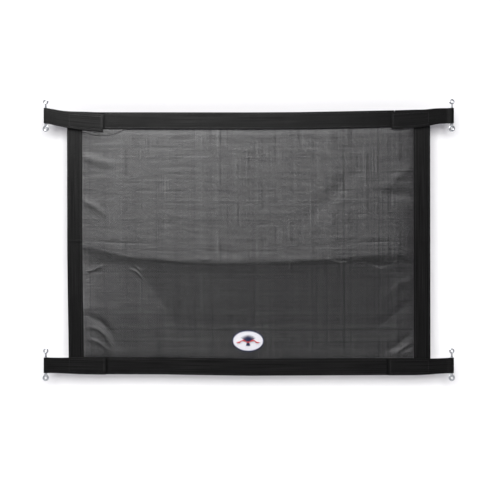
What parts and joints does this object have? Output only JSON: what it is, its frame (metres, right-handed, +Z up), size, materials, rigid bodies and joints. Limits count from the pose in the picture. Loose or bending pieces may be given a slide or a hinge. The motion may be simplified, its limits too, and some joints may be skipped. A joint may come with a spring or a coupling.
{
  "type": "hay net",
  "caption": "Black mesh net in a webbing frame, whose strap ends loop round steel rods with an eye at each end for hanging it across a stall or hay feeder.",
  "frame": {"origin": "centre of the overall box, on the plane of the four rods' axes", "axes": "+X along the straps to the viewer's right, +Z up as hung, -Y towards the front, where the label is"},
  "size_m": [1.1958, 0.0126, 0.8178],
  "materials": {
    "webbing": "black woven nylon webbing, slight sheen",
    "net": "black coated yarn in an open plain weave",
    "thread": "black bonded nylon sewing thread",
    "steel": "bright zinc plate",
    "label_white": "white woven twill",
    "label_navy": "navy embroidery thread",
    "label_red": "red embroidery thread",
    "label_thread": "white sewing thread"
  },
  "bodies": {
    "panel": {"net_panel": "net", "top_strap": "webbing", "bottom_strap": "webbing", "left_binding": "webbing", "right_binding": "webbing", "top_strap_stitching": "thread", "bottom_strap_stitching": "thread", "left_binding_stitching": "thread", "right_binding_stitching": "thread", "top_left_box_stitching": "thread", "top_right_box_stitching": "thread", "bottom_left_box_stitching": "thread", "bottom_right_box_stitching": "thread", "label_patch": "label_white", "label_rim": "label_navy", "label_stitching": "label_thread", "label_sheaf": "label_navy", "label_tie": "label_red"},
    "top_left_loop": {"top_left_loop": "webbing"},
    "top_left_rod": {"top_left_eye_rod": "steel"},
    "top_right_loop": {"top_right_loop": "webbing"},
    "top_right_rod": {"top_right_eye_rod": "steel"},
    "bottom_left_loop": {"bottom_left_loop": "webbing"},
    "bottom_left_rod": {"bottom_left_eye_rod": "steel"},
    "bottom_right_loop": {"bottom_right_loop": "webbing"},
    "bottom_right_rod": {"bottom_right_eye_rod": "steel"}
  },
  "joints": [
    {"name": "top_left_flex", "type": "hinge", "parent": "panel", "child": "top_left_loop", "pos_m": [-0.5286, 0, 0.34725], "axis": [0, 0, -1], "range_deg": [-90, 90], "stiffness_Nm_per_rad": 0.02},
    {"name": "top_left_rod_turn", "type": "hinge", "parent": "top_left_loop", "child": "top_left_rod", "pos_m": [-0.5887, 0, 0.36075], "axis": [0, 0, 1], "continuous": true},
    {"name": "top_right_flex", "type": "hinge", "parent": "panel", "child": "top_right_loop", "pos_m": [0.5286, 0, 0.34725], "axis": [0, 0, 1], "range_deg": [-90, 90], "stiffness_Nm_per_rad": 0.02},
    {"name": "top_right_rod_turn", "type": "hinge", "parent": "top_right_loop", "child": "top_right_rod", "pos_m": [0.5887, 0, 0.36075], "axis": [0, 0, 1], "continuous": true},
    {"name": "bottom_left_flex", "type": "hinge", "parent": "panel", "child": "bottom_left_loop", "pos_m": [-0.5286, 0, -0.36775], "axis": [0, 0, -1], "range_deg": [-90, 90], "stiffness_Nm_per_rad": 0.02},
    {"name": "bottom_left_rod_turn", "type": "hinge", "parent": "bottom_left_loop", "child": "bottom_left_rod", "pos_m": [-0.5887, 0, -0.36225], "axis": [0, 0, 1], "continuous": true},
    {"name": "bottom_right_flex", "type": "hinge", "parent": "panel", "child": "bottom_right_loop", "pos_m": [0.5286, 0, -0.36775], "axis": [0, 0, 1], "range_deg": [-90, 90], "stiffness_Nm_per_rad": 0.02},
    {"name": "bottom_right_rod_turn", "type": "hinge", "parent": "bottom_right_loop", "child": "bottom_right_rod", "pos_m": [0.5887, 0, -0.36225], "axis": [0, 0, 1], "continuous": true}
  ]
}
